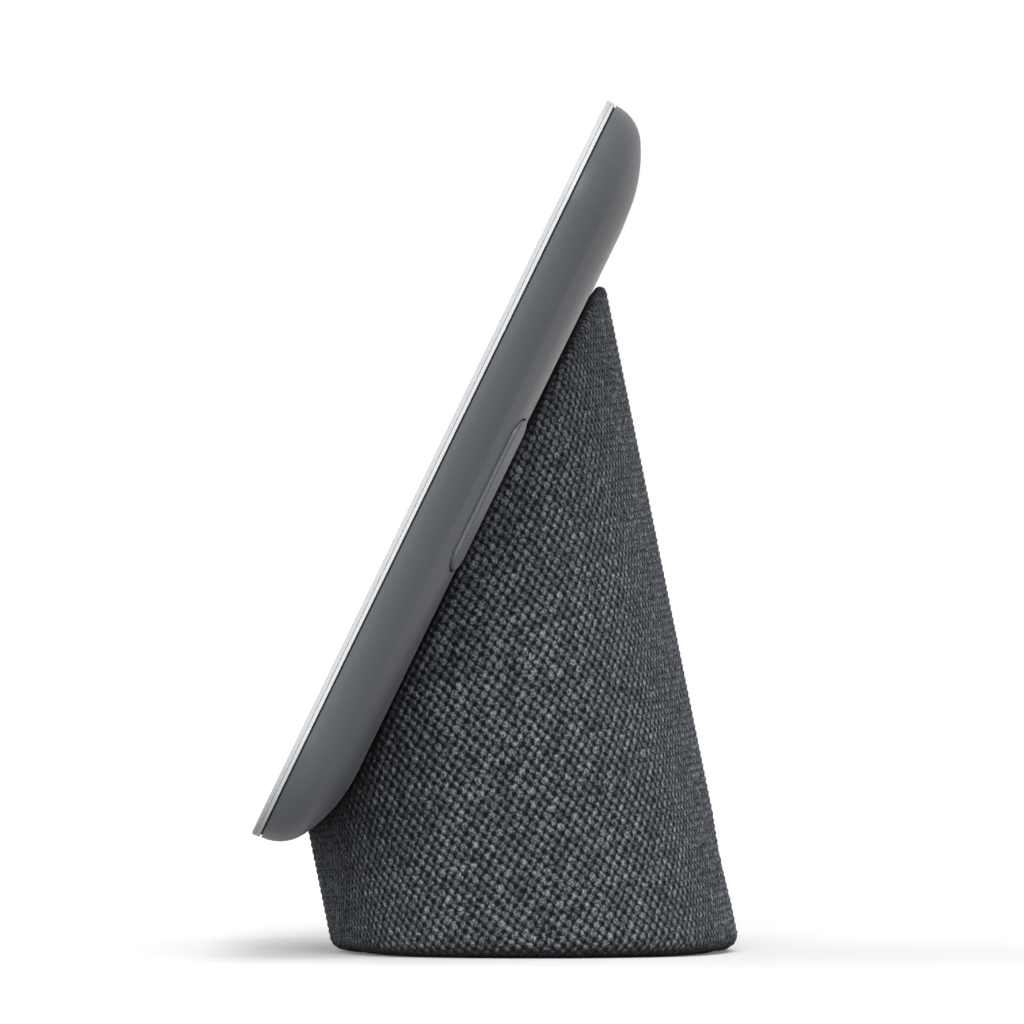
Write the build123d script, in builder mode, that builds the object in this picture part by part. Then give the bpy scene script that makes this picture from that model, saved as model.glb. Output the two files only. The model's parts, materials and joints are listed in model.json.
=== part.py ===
"""Smart display: a tilted touch panel on a fabric-covered speaker base, built as separate pieces.

Millimetres. The origin is on the floor below the middle of the object, +Z is up, the screen faces -Y.
Panel pieces are drawn on planes behind the glass, base pieces on planes along the leaning base.
"""
import os
from math import acos, atan2, cos, degrees, radians, sin, sqrt, tan

from build123d import *

# Overall size
overall_height = 120.4
overall_depth = 68.6

# Panel outline, lean and layers
panel_width = 177.4
panel_lift = 18.03  # height of the lower edge of the glass
panel_corner = 15.0
panel_lean = 25.9  # degrees back from upright
glass_thickness = 0.7
glass_chamfer = 0.12
bezel_thickness = 0.45
bezel_inset = 0.05
gasket_thickness = 0.3
gasket_inset = 0.5
gasket_width = 1.2

# Skin of the rear housing: a tight arc from the rim, then a wide arc into the flat back
rim_inset = 0.15
edge_tight_radius = 6.0
edge_wide_radius = 21.8
edge_knee = 60.0  # degrees turned where the arcs meet
housing_wall = 1.7

# Screen stack
screen_border = 11.9
window_margin = 0.4
layer_gap = 0.1
display_margin_x = 3.9
display_margin_y = 3.7
display_thickness = 2.6
chassis_gap = 0.2
chassis_side_inset = 13.7
chassis_end_inset = 8.9
chassis_corner = 6.0
chassis_thickness = 0.8

# Front sensors, in the bezel above the screen
sensor_drop = 5.4
mic_spread = 18.0
mic_hole_radius = 0.5
mic_seal_radius = 1.8
mic_seal_thickness = 0.4
sensor_board_width = 9.0
sensor_board_height = 4.2
sensor_board_thickness = 0.7
mic_can_width = 3.4
mic_can_height = 2.8
mic_can_thickness = 0.95
lens_radius = 1.5
light_chip_size = 2.2
light_chip_thickness = 0.4

# Main board
board_width = 68.0
board_top_gap = 1.2
board_foot_drop = 5.6
board_thickness = 1.0
board_screw_inset = 3.5
pad_margin = 3.0
pad_thickness = 0.6
can_side_inset = 12.0
can_top_inset = 6.0
can_foot_inset = 16.0
can_thickness = 1.2
can_sheet = 0.25
chip_thickness = 0.8
chip_main_size = 14.0
chip_memory_width = 11.0
chip_memory_height = 8.0
chip_gap = 0.5
connector_height = 4.0
connector_thickness = 1.1
coax_connector_size = 3.0

# Flat cable from the display to the board
flex_width = 17.0
flex_side_inset = 16.5
flex_thickness = 0.15
flex_loop = 2.1
flex_bend = 0.8
flex_start_depth = 2.9
flex_run_depth = 5.25
flex_rise = 3.0

# Antennas
antenna_board_gap = 5.0
antenna_side_inset = 2.0
antenna_height = 7.0
antenna_thickness = 0.25
antenna_rise = 10.9
antenna_drop = 6.0
coax_radius = 0.5
coax_depth = 6.95
coax_bend = 2.0

# Screws: small ones for boards and plates, larger ones for panel and base
screw_clearance = 0.05
small_shank = 0.8
small_head = 1.7
small_head_height = 0.5
small_boss = 2.4
large_shank = 1.4
large_head = 2.4
large_head_height = 1.4
chassis_screw_side = 4.0
chassis_screw_end = 9.0
chassis_screw_gap = 6.0
skin_left_under_screw = 0.8

# Volume rocker on the right rear edge
rocker_length = 23.2
rocker_width = 5.0
rocker_inset = 9.3
rocker_gap = 0.3
rocker_proud = 0.4
rocker_crown = 0.35
rocker_body = 2.3
rocker_pivot_drop = 3.1
rocker_pin_radius = 0.5
rocker_pin_reach = 4.3
rocker_hub_length = 3.2
rocker_hub_width = 3.4
rocker_hub_drop = 3.7
rocker_leg_spread = 8.5
rocker_leg_size = 3.0
rocker_leg_drop = 2.7
ear_start = 3.0
ear_thickness = 1.4
ear_length = 3.0
ear_drop = 4.1
switch_board_length = 31.0
switch_board_width = 4.4
switch_board_thickness = 0.6
switch_board_drop = 4.0
switch_size = 3.4
switch_thickness = 0.75
plunger_radius = 0.8
plunger_height = 0.2
post_spread = 14.0
post_radius = 1.0
stake_radius = 0.6
stake_length = 0.9

# Microphone slider on the back, above the base
slider_drop = 16.4
slider_pocket_length = 18.0
slider_pocket_width = 6.2
slider_pocket_depth = 1.0
slider_length = 9.6
slider_gap = 0.4
slider_float = 0.12
slider_sink = 0.05
slider_travel = 6.0
slider_stem_length = 3.0
slider_stem_width = 1.6
slider_stem_gap = 0.3
slider_ridge = 0.5
slider_ridge_depth = 0.2
slider_ridge_step = 1.4
mic_switch_length = 12.0
mic_switch_width = 4.4
mic_switch_thickness = 1.5
mic_switch_gap = 0.1
mic_switch_pocket = 1.0
mic_board_length = 21.0
mic_board_width = 6.6
mic_board_thickness = 0.6
mic_post_spread = 8.5
marker_length = 2.4
marker_width = 3.8
marker_thickness = 0.12
marker_recess = 0.15
marker_place = -6.4

# Base outline: a leaning oval of four arcs, wrapped in fabric
base_lean = 11.53  # degrees forward from upright
base_half_width = 50.0
base_half_depth = 28.6
base_end_radius = 24.5
base_edge_radius = 2.0
base_reach = 112.0
base_skirt = 9.0
fabric_thickness = 0.9
fabric_gap = 0.1
fabric_lift = 0.6
fabric_hem = 3.6
fabric_joint_gap = 0.2
fabric_fold_radius = 0.95
shell_wall = 2.1
shell_joint_gap = 0.1

# Foot, bottom plate and weights
foot_thickness = 1.7
foot_inset = 4.1
foot_groove_inset = 8.0
foot_groove_width = 1.2
foot_groove_depth = 0.4
plate_thickness = 2.5
plate_gap = 0.15
base_screw_inset = 6.8
base_screw_side = 24.0
base_boss_radius = 4.2
base_boss_height = 10.0
base_screw_length = 9.0
weight_start = 8.5
weight_width = 24.0
weight_front = -12.5
weight_depth = 20.0
weight_thickness = 4.0

# Panel-to-base fixing and the cable slot between them
lug_middle = 41.0
lug_inner = 35.5
lug_spread = 11.5
lug_height = 9.0
lug_depth = 7.0
stand_screw_length = 7.0
slot_width = 18.0
slot_height = 9.5
slot_middle = 1.0

# Speaker: box, baffle and driver, firing out of the back of the base
speaker_height = 38.5
baffle_rear = 17.5
baffle_thickness = 2.5
baffle_width = 62.0
baffle_height = 49.0
baffle_screw_x = 28.3
baffle_screw_row = 21.6
baffle_boss = 2.5
box_half_width = 25.5
box_back = -2.5
box_wall = 2.0
box_drop = 24.0
box_rise = 24.5
box_joint_clearance = 1.4
sound_hole_radius = 1.4
sound_hole_pitch = 4.1
sound_hole_rings = 5
driver_hole_radius = 22.4
driver_gasket = 0.8
driver_flange = 46.0
driver_flange_corner = 6.0
driver_flange_thickness = 1.2
driver_screw_place = 19.6
driver_screw_length = 4.0
basket_mouth = 20.6
basket_top = 21.9
basket_foot = 18.4
basket_depth = 8.0
basket_wall = 1.2
basket_inner = 11.4
basket_window = 8.0
cup_radius = 12.5
cup_depth = 7.5
cup_wall = 1.5
cup_floor = 2.0
pole_radius = 8.9
pole_thickness = 2.3
magnet_radius = 8.6
coil_inner = 9.5
former_wall = 0.3
winding_wall = 0.7
winding_height = 3.1
coil_top = 3.5
coil_bottom = 12.0
cone_rim = 18.3
cone_rim_height = 1.88
cone_neck_drop = 4.2
cone_sheet = 0.5
cap_rise = 2.6
cap_sheet = 0.4
roll_middle = 19.9
roll_radius = 1.5
rubber_sheet = 0.4
surround_inner = 17.2
surround_outer = 22.6
spider_sheet = 0.3
spider_outer = 17.0
spider_seat = 16.2
spider_inner = 9.9
spider_low = 6.6
spider_high = 5.7
spider_waves = 3
terminal_width = 8.0
terminal_length = 4.5
terminal_thickness = 1.0

# Power inlet and cables
inlet_height = 8.0
inlet_bore_radius = 5.2
inlet_ring_wall = 1.0
inlet_seat_gap = 0.1
inlet_sink = 0.3
inlet_fabric_gap = 0.3
jack_size = 9.0
jack_length = 11.4
jack_front = 24.4
jack_gap = 0.1
socket_radius = 3.0
socket_depth = 9.5
pin_radius = 0.95
pin_short = 1.0
cradle_wall = 1.6
power_cable_radius = 0.7
power_cable_x = -2.5
speaker_cable_radius = 0.7
speaker_cable_x = 5.0
cable_bend = 4.0
cable_front = -8.5
cable_depth = 7.1
grommet_gap = 0.1
connector_reach = 0.3

# Values that follow from those above
lean = radians(base_lean)
tilt = radians(panel_lean)
knee = radians(edge_knee)
bezel_back = glass_thickness + bezel_thickness
rim_depth = bezel_back + gasket_thickness
back_inset = rim_inset + edge_tight_radius * (1 - cos(knee)) + edge_wide_radius * cos(knee)
back_depth = rim_depth + edge_tight_radius * sin(knee) + edge_wide_radius * (1 - sin(knee))
inner_back = back_depth - housing_wall
panel_height = (overall_height - panel_lift) / cos(tilt)
screen_width = panel_width - 2 * screen_border
screen_height = panel_height - 2 * screen_border
chassis_width = panel_width - 2 * chassis_side_inset
chassis_height = panel_height - 2 * chassis_end_inset
display_back = bezel_back + display_thickness
chassis_front = display_back + chassis_gap
chassis_back = chassis_front + chassis_thickness
board_front = chassis_back + pad_thickness
board_back = board_front + board_thickness
sensor_row = panel_height / 2 - sensor_drop
slider_row = panel_height / 2 - slider_drop
pocket_floor = back_depth - slider_pocket_depth
mic_board_back = inner_back - mic_switch_gap - mic_switch_thickness
shell_inset = fabric_thickness + fabric_gap
inner_inset = shell_inset + shell_wall
plate_top = foot_thickness + plate_thickness
inlet_ring_radius = inlet_bore_radius + inlet_ring_wall

# Middles of the base outline's arcs
bulge = base_half_depth - base_end_radius
end_middle = base_half_width - base_end_radius
side_drop = (end_middle ** 2 - bulge ** 2) / (2 * bulge)

# Directions and planes
panel_up = Vector(0, sin(tilt), cos(tilt))
panel_back = Vector(0, cos(tilt), -sin(tilt))
panel_foot = Vector(0, -overall_depth / 2, panel_lift)
panel_front = Plane(origin=panel_foot + panel_up * (panel_height / 2), x_dir=(1, 0, 0), z_dir=-panel_back)
panel_side = Plane(origin=panel_front.origin, x_dir=panel_up, z_dir=(-1, 0, 0))

base_rear_foot = (overall_depth / 2 + base_edge_radius * (1 / cos(lean) - 1)
                  + (fabric_lift + base_edge_radius) * tan(lean))
base_middle = base_rear_foot - base_half_depth / cos(lean)
base_plane = Plane(origin=(0, base_middle, 0), x_dir=(1, 0, 0), z_dir=(0, -sin(lean), cos(lean)))

panel_corners = [(side * panel_width / 2, end * panel_height / 2)
                 for side, end in ((1, -1), (1, 1), (-1, 1), (-1, -1))]

# Where the middle line of the base meets the back of the panel
joint_slope = 1 / tan(lean + tilt)
joint_height = ((base_plane.origin - panel_front.origin).dot(panel_back) - back_depth) / sin(lean + tilt)
joint_row = panel_front.to_local_coords(base_plane.from_local_coords(Vector(0, 0, joint_height))).Y


def at_depth(depth):
    """Plane behind the glass: x to the right, y up the panel, z towards the viewer."""
    return panel_front.offset(-depth)


def at_rear(reach, height):
    """Plane that faces backwards in the base: y up the base, z out of its back."""
    origin = base_plane.from_local_coords(Vector(0, reach, height))
    return Plane(origin=origin, x_dir=(-1, 0, 0), z_dir=base_plane.y_dir)


def base_side(x):
    """Upright plane across the base: x towards the back, y up the base."""
    return Plane(origin=(x, base_middle, 0), x_dir=base_plane.y_dir, z_dir=(1, 0, 0))


def in_base(row, depth):
    """A point of the panel, row up and depth in, as seen on a base_side plane."""
    spot = base_plane.to_local_coords(panel_front.from_local_coords(Vector(0, row, -depth)))
    return spot.Y, spot.Z


def skin_point(angle, grow):
    """Inset and depth of the housing's skin where it has turned by angle, moved outwards by grow."""
    turn = radians(angle)
    if angle <= edge_knee:
        inset = rim_inset + edge_tight_radius * (1 - cos(turn))
        depth = rim_depth + edge_tight_radius * sin(turn)
    else:
        inset = back_inset - edge_wide_radius * cos(turn)
        depth = back_depth - edge_wide_radius * (1 - sin(turn))
    return inset - grow * cos(turn), depth + grow * sin(turn)


def panel_block(grow):
    """Solid inside the housing's skin, with the skin moved outwards by grow."""
    bends = [skin_point(angle, grow) for angle in (0, edge_knee / 2, edge_knee, (edge_knee + 90) / 2, 90)]
    rim, tight, knee_point, wide, back = [(-inset, -depth) for inset, depth in bends]
    edge_start = panel_front.from_local_coords(Vector(panel_width / 2, 0, 0))
    with BuildPart() as block:
        with BuildLine(panel_front) as outline:
            Polyline(*panel_corners, close=True)
            fillet(outline.vertices(), panel_corner)
        with BuildSketch(Plane(origin=edge_start, x_dir=(1, 0, 0), z_dir=-panel_up)):
            with BuildLine():
                ThreePointArc(rim, tight, knee_point)
                ThreePointArc(knee_point, wide, back)
                Polyline(back, (back[0], rim[1]), rim)
            make_face()
        sweep(path=outline.wires()[0])
        core_inset, core_depth = bends[-1]
        with BuildSketch(at_depth(core_depth)):
            RectangleRounded(panel_width - 2 * core_inset, panel_height - 2 * core_inset, panel_corner - core_inset)
        extrude(amount=core_depth - rim_depth)
    return block.part


def side_reach(x, inset):
    """Distance from the base's middle to its side arc at x, with the outline moved in by inset."""
    return sqrt((side_drop + base_half_depth - inset) ** 2 - x ** 2) - side_drop


def oval(inset):
    """The base's outline, moved in by inset: two end arcs and two flatter side arcs."""
    turn = degrees(atan2(side_drop, end_middle))
    end_radius = base_end_radius - inset
    side_radius = side_drop + base_half_depth - inset
    with BuildLine() as outline:
        CenterArc((end_middle, 0), end_radius, -turn, 2 * turn)
        CenterArc((0, -side_drop), side_radius, turn, 180 - 2 * turn)
        CenterArc((-end_middle, 0), end_radius, 180 - turn, 2 * turn)
        CenterArc((0, side_drop), side_radius, 180 + turn, 180 - 2 * turn)
    make_face(outline.edges())


def base_block(inset, floor, edge_radius=0.0):
    """Leaning oval solid behind the panel, cut level at the floor, with a rounded bottom edge."""
    with BuildPart() as block:
        with BuildSketch(base_plane.offset(-base_skirt)):
            oval(inset)
        extrude(amount=base_skirt + base_reach)
        split(bisect_by=Plane.XY.offset(floor), keep=Keep.TOP)
        split(bisect_by=at_depth(back_depth / 2), keep=Keep.BOTTOM)
        if edge_radius > 0:
            fillet(block.faces().sort_by(Axis.Z)[0].edges(), edge_radius)
    return block.part


def slab(width, height, front, back, x=0.0, row=0.0, corner=0.0):
    """Plate in the panel between two depths, drawn in the current piece."""
    with BuildSketch(at_depth(back)) as outline:
        with Locations((x, row)):
            if corner > 0:
                RectangleRounded(width, height, corner)
            else:
                Rectangle(width, height)
    extrude(outline.sketch, amount=back - front)


def rods(plane, spots, radius, length, mode=Mode.ADD):
    """Round bars standing on a plane at each spot; a negative length goes below it."""
    with BuildSketch(plane) as outline:
        with Locations(*spots):
            Circle(radius)
    extrude(outline.sketch, amount=length, mode=mode)


def pan_screws(plane, spots, head, head_height, shank, length):
    """Flat-headed screws seated on a plane, shank below it."""
    rods(plane, spots, head, head_height)
    rods(plane, spots, shank, -length)


def save(piece, name):
    """Label a finished piece and write its file."""
    piece.part.label = name
    export_step(piece.part, f"parts/{name}.step")


os.makedirs("parts", exist_ok=True)

# Main board: between the microphone switch above and the cable slot below
board_top = slider_row - mic_board_width / 2 - board_top_gap
board_foot = joint_row - board_foot_drop
board_height = board_top - board_foot
board_row = (board_top + board_foot) / 2
can_width = board_width - 2 * can_side_inset
can_height = board_height - can_top_inset - can_foot_inset
can_row = board_top - can_top_inset - can_height / 2
pad_width = can_width - 2 * pad_margin
pad_height = can_height - 2 * pad_margin
chip_offset = (chip_main_size + chip_memory_width) / 2 + chip_gap
flex_middle = flex_side_inset - board_width / 2
antenna_start = board_width / 2 + antenna_board_gap
antenna_end = chassis_width / 2 - antenna_side_inset
antenna_row = joint_row + lug_spread + antenna_rise
coax_row = antenna_row - antenna_drop

# Spots that several pieces share
mic_spots = [(-mic_spread, sensor_row), (mic_spread, sensor_row)]
board_screw_x = board_width / 2 - board_screw_inset
board_screw_row = board_height / 2 - board_screw_inset
board_spots = [(x, board_row + y) for x in (-board_screw_x, board_screw_x)
               for y in (-board_screw_row, board_screw_row)]
screw_column = chassis_width / 2 - chassis_screw_side
middle_column = board_width / 2 + chassis_screw_gap
chassis_screw_row = chassis_height / 2 - chassis_screw_end
chassis_spots = [(x, row) for x in (-screw_column, -middle_column, middle_column, screw_column)
                 for row in (-chassis_screw_row, chassis_screw_row)]
lug_rows = (joint_row - lug_spread, joint_row + lug_spread)
stand_spots = [(x, row) for x in (-lug_middle, lug_middle) for row in lug_rows]
driver_spots = [(x, y) for x in (-driver_screw_place, driver_screw_place)
                for y in (-driver_screw_place, driver_screw_place)]
baffle_spots = [(x, y) for x in (-baffle_screw_x, baffle_screw_x)
                for y in (-baffle_screw_row, baffle_screw_row)]
post_spots = [(-post_spread, 0), (post_spread, 0)]
leg_spots = [(-rocker_leg_spread, 0), (rocker_leg_spread, 0)]
mic_post_spots = [(-mic_post_spread, slider_row), (mic_post_spread, slider_row)]

# Screws through the bottom plate: one at each end of the oval and two along each side
plate_middle = base_middle - plate_top * tan(lean)
screw_reach_x = base_half_width - base_screw_inset
screw_reach_y = (side_reach(base_screw_side, 0) - base_screw_inset) / cos(lean)
base_screw_spots = [(-screw_reach_x, plate_middle), (screw_reach_x, plate_middle)]
base_screw_spots += [(x, plate_middle + y) for x in (-base_screw_side, base_screw_side)
                     for y in (-screw_reach_y, screw_reach_y)]

# Volume rocker: its plane lies on the housing's skin, x up the panel, y towards the side edge
rocker_turn = degrees(acos((back_inset - rocker_inset) / edge_wide_radius))
rocker_skin_inset, rocker_skin_depth = skin_point(rocker_turn, 0.0)
rocker_origin = panel_front.from_local_coords(
    Vector(panel_width / 2 - rocker_skin_inset, 0, -rocker_skin_depth))
rocker_out = Vector(cos(radians(rocker_turn)), 0, 0) + panel_back * sin(radians(rocker_turn))
rocker_plane = Plane(origin=rocker_origin, x_dir=panel_up, z_dir=rocker_out)
rocker_across = Plane(origin=rocker_plane.from_local_coords(Vector(0, 0, -rocker_pivot_drop)),
                      x_dir=panel_up, z_dir=rocker_plane.y_dir)

# Driver: its plane lies on the back of the baffle, z out of the base
driver_plane = at_rear(baffle_rear, speaker_height)
driver_section = Plane(origin=driver_plane.origin, x_dir=driver_plane.x_dir, z_dir=-driver_plane.y_dir)
driver_axis = Axis(driver_plane.origin, driver_plane.z_dir)
flange_back = driver_gasket + driver_flange_thickness
baffle_screw_reach = side_reach(baffle_screw_x, inner_inset) - baffle_rear


def turned(*corners):
    """Ring round the driver's axis from the corners (radius, height) of its section."""
    with BuildSketch(driver_section) as outline:
        with BuildLine():
            Polyline(*corners, close=True)
        make_face()
    revolve(outline.sketch, axis=driver_axis)


def tube(inner, outer, low, high):
    """Plain ring round the driver's axis."""
    turned((inner, low), (outer, low), (outer, high), (inner, high))


# Front layers of the panel
with BuildPart() as cover_glass:
    with BuildSketch(at_depth(glass_thickness)):
        RectangleRounded(panel_width, panel_height, panel_corner)
        with Locations(*mic_spots):
            Circle(mic_hole_radius, mode=Mode.SUBTRACT)
    extrude(amount=glass_thickness)
    glass_faces = cover_glass.faces().filter_by(panel_front)
    chamfer([edge for face in glass_faces for edge in face.outer_wire().edges()], glass_chamfer)
save(cover_glass, "cover_glass")

with BuildPart() as bezel_frame:
    with BuildSketch(at_depth(bezel_back)):
        RectangleRounded(panel_width - 2 * bezel_inset, panel_height - 2 * bezel_inset,
                         panel_corner - bezel_inset)
        Rectangle(screen_width + 2 * window_margin, screen_height + 2 * window_margin, mode=Mode.SUBTRACT)
        with Locations(*mic_spots):
            Circle(mic_hole_radius, mode=Mode.SUBTRACT)
        with Locations((0, sensor_row)):
            Circle(lens_radius + screw_clearance, mode=Mode.SUBTRACT)
    extrude(amount=bezel_thickness)
save(bezel_frame, "bezel_frame")

with BuildPart() as sensor_lens:
    rods(at_depth(bezel_back), [(0, sensor_row)], lens_radius, bezel_thickness)
save(sensor_lens, "sensor_lens")

with BuildPart() as touch_sensor:
    touch_margin = window_margin - layer_gap
    slab(screen_width + 2 * touch_margin, screen_height + 2 * touch_margin, glass_thickness, bezel_back)
save(touch_sensor, "touch_sensor")

with BuildPart() as glass_gasket:
    with BuildSketch(at_depth(rim_depth)):
        for inset, mode in ((gasket_inset, Mode.ADD), (gasket_inset + gasket_width, Mode.SUBTRACT)):
            RectangleRounded(panel_width - 2 * inset, panel_height - 2 * inset, panel_corner - inset, mode=mode)
    extrude(amount=gasket_thickness)
save(glass_gasket, "glass_gasket")

# Screen, chassis and boards
display_height = screen_height + 2 * display_margin_y
with BuildPart() as display_module:
    slab(screen_width + 2 * display_margin_x, display_height, bezel_back, display_back, corner=1.0)
save(display_module, "display_module")

with BuildPart() as display_flex:
    with BuildSketch(panel_side.offset(-flex_middle)):
        with BuildLine():
            loop_row = -display_height / 2 - flex_loop
            plug_row = board_foot + connector_reach
            FilletPolyline((-display_height / 2, flex_start_depth), (loop_row, flex_start_depth),
                           (loop_row, flex_run_depth), (board_foot - 2 * flex_rise, flex_run_depth),
                           (board_foot - flex_rise, cable_depth), (plug_row, cable_depth), radius=flex_bend)
        trace(line_width=flex_thickness)
    extrude(amount=flex_width / 2, both=True)
save(display_flex, "display_flex")

with BuildPart() as chassis_plate:
    slab(chassis_width, chassis_height, chassis_front, chassis_back, corner=chassis_corner)
    rods(at_depth(chassis_front), chassis_spots, small_head + screw_clearance, -small_head_height, Mode.SUBTRACT)
    rods(at_depth(chassis_front), chassis_spots, small_shank + 2 * screw_clearance, -chassis_thickness,
         Mode.SUBTRACT)
save(chassis_plate, "chassis_plate")

with BuildPart() as chassis_screws:
    chassis_seat = chassis_front + small_head_height
    pan_screws(at_depth(chassis_seat), chassis_spots, small_head, small_head_height - screw_clearance,
               small_shank, back_depth - skin_left_under_screw - chassis_seat)
save(chassis_screws, "chassis_screws")

with BuildPart() as thermal_pad:
    slab(pad_width, pad_height, chassis_back, board_front, row=can_row)
save(thermal_pad, "thermal_pad")

with BuildPart() as main_board:
    slab(board_width, board_height, board_front, board_back, row=board_row, corner=1.5)
    rods(at_depth(board_front), board_spots, small_shank + 2 * screw_clearance, -board_thickness, Mode.SUBTRACT)
save(main_board, "main_board")

with BuildPart() as board_screws:
    pan_screws(at_depth(board_front), board_spots, small_head, small_head_height,
               small_shank, back_depth - skin_left_under_screw - board_front)
save(board_screws, "board_screws")

with BuildPart() as shield_can:
    slab(can_width, can_height, board_back, board_back + can_thickness, row=can_row)
    slab_hollow = at_depth(board_back + can_thickness - can_sheet)
    with BuildSketch(slab_hollow):
        with Locations((0, can_row)):
            Rectangle(can_width - 2 * can_sheet, can_height - 2 * can_sheet)
    extrude(amount=can_thickness, mode=Mode.SUBTRACT)
save(shield_can, "shield_can")

with BuildPart() as board_chips:
    chip_back = board_back + chip_thickness
    slab(chip_main_size, chip_main_size, board_back, chip_back, row=can_row)
    for side in (-1, 1):
        slab(chip_memory_width, chip_memory_height, board_back, chip_back, x=side * chip_offset, row=can_row)
save(board_chips, "board_chips")

with BuildPart() as board_connectors:
    connector_back = board_back + connector_thickness
    plug_middle = board_foot + connector_reach + layer_gap + connector_height / 2
    for x, width in ((flex_middle, flex_width + 2), (power_cable_x, 3 * power_cable_radius),
                     (speaker_cable_x, 3 * speaker_cable_radius)):
        slab(width, connector_height, board_back, connector_back, x=x, row=plug_middle)
    for side in (-1, 1):
        slab(coax_connector_size, coax_connector_size, board_back, connector_back,
             x=side * (board_width / 2 - 2 * coax_connector_size), row=coax_row)
save(board_connectors, "board_connectors")

with BuildPart() as antennas:
    for side in (-1, 1):
        slab(antenna_end - antenna_start, antenna_height, inner_back - antenna_thickness, inner_back,
             x=side * (antenna_start + antenna_end) / 2, row=antenna_row)
save(antennas, "antennas")

with BuildPart() as antenna_cables:
    for side in (-1, 1):
        coax_start = side * (antenna_start + antenna_board_gap)
        coax_turn = side * (board_width / 2 + 2 * coax_bend)
        coax_end = side * (board_width / 2 - 1.5 * coax_connector_size + layer_gap)
        with BuildLine(at_depth(coax_depth)) as coax_path:
            FilletPolyline((coax_start, antenna_row), (coax_turn, antenna_row),
                           (side * board_width / 2, coax_row), (coax_end, coax_row), radius=coax_bend)
        with BuildSketch(Plane(origin=coax_path.line @ 0, z_dir=coax_path.line % 0)):
            Circle(coax_radius)
        sweep(path=coax_path.line)
save(antenna_cables, "antenna_cables")

with BuildPart() as mic_seals:
    with BuildSketch(at_depth(bezel_back + mic_seal_thickness)):
        with Locations(*mic_spots):
            Circle(mic_seal_radius)
            Circle(mic_hole_radius, mode=Mode.SUBTRACT)
    extrude(amount=mic_seal_thickness)
save(mic_seals, "mic_seals")

with BuildPart() as mic_boards:
    mic_front = bezel_back + mic_seal_thickness
    mic_back = mic_front + sensor_board_thickness
    for x, row in mic_spots:
        slab(sensor_board_width, sensor_board_height, mic_front, mic_back, x=x, row=row)
        slab(mic_can_width, mic_can_height, mic_back, mic_back + mic_can_thickness, x=x, row=row)
    rods(at_depth(mic_front), mic_spots, mic_hole_radius, -sensor_board_thickness, Mode.SUBTRACT)
save(mic_boards, "mic_boards")

with BuildPart() as sensor_board:
    chip_front = bezel_back + layer_gap
    sensor_front = chip_front + light_chip_thickness
    slab(light_chip_size, light_chip_size, chip_front, sensor_front, row=sensor_row)
    slab(sensor_board_width, sensor_board_height, sensor_front, sensor_front + sensor_board_thickness,
         row=sensor_row)
save(sensor_board, "sensor_board")

# Rear housing: the skin, its bosses, and the openings through it
panel_outside = panel_block(0.0)
panel_inside = panel_block(-housing_wall)
cable_spot = base_plane.from_local_coords(
    Vector(0, cable_front, joint_height + cable_front * joint_slope + housing_wall / 2))
slot_row = panel_front.to_local_coords(cable_spot).Y

with BuildPart() as housing_fittings:
    rods(at_depth(back_depth), chassis_spots, small_boss, back_depth - chassis_back)
    rods(at_depth(back_depth), board_spots, small_boss, back_depth - board_back)
    rods(at_depth(back_depth), mic_post_spots, post_radius, back_depth - mic_board_back)
    rods(rocker_plane.offset(-switch_board_drop), post_spots, post_radius, switch_board_drop)
    rods(rocker_plane.offset(-switch_board_drop), post_spots, stake_radius, -stake_length)
    with BuildSketch(rocker_plane.offset(-ear_drop)):
        for side in (-1, 1):
            with Locations((0, side * (ear_start + ear_thickness / 2))):
                Rectangle(ear_length, ear_thickness)
    extrude(amount=ear_drop)

with BuildPart() as rear_housing:
    add(panel_outside)
    add(panel_inside, mode=Mode.SUBTRACT)
    add(housing_fittings.part & panel_outside)
    rods(at_depth(chassis_back), chassis_spots, small_shank + screw_clearance,
         chassis_back - back_depth + skin_left_under_screw, Mode.SUBTRACT)
    rods(at_depth(board_back), board_spots, small_shank + screw_clearance,
         board_back - back_depth + skin_left_under_screw, Mode.SUBTRACT)
    rods(at_depth(back_depth), stand_spots, large_shank + 2 * screw_clearance, 2 * housing_wall, Mode.SUBTRACT)
    with BuildSketch(at_depth(back_depth)):
        with Locations((slot_middle, slot_row)):
            SlotOverall(slot_width, slot_height)
    extrude(amount=2 * housing_wall, mode=Mode.SUBTRACT)
    with BuildSketch(rocker_plane.offset(-rocker_body)):
        SlotOverall(rocker_length + 2 * rocker_gap, rocker_width + 2 * rocker_gap)
    extrude(amount=rocker_body + 1, mode=Mode.SUBTRACT)
    with BuildSketch(rocker_across.offset(-rocker_pin_reach - 1)):
        Circle(rocker_pin_radius + screw_clearance)
    extrude(amount=2 * rocker_pin_reach + 2, mode=Mode.SUBTRACT)
    with BuildSketch(at_depth(back_depth)):
        with Locations((0, slider_row)):
            SlotOverall(slider_pocket_length, slider_pocket_width)
    extrude(amount=slider_pocket_depth, mode=Mode.SUBTRACT)
    with BuildSketch(at_depth(pocket_floor)):
        with Locations((0, slider_row)):
            Rectangle(slider_travel + slider_stem_length + 2 * slider_stem_gap,
                      slider_stem_width + 2 * slider_stem_gap)
    extrude(amount=housing_wall, mode=Mode.SUBTRACT)
    with BuildSketch(at_depth(pocket_floor)):
        with Locations((marker_place, slider_row)):
            Rectangle(marker_length + layer_gap, marker_width + layer_gap)
    extrude(amount=marker_recess, mode=Mode.SUBTRACT)
save(rear_housing, "rear_housing")

with BuildPart() as stand_screws:
    pan_screws(at_depth(inner_back), stand_spots, large_head, large_head_height, large_shank,
               housing_wall + stand_screw_length)
save(stand_screws, "stand_screws")

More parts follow.
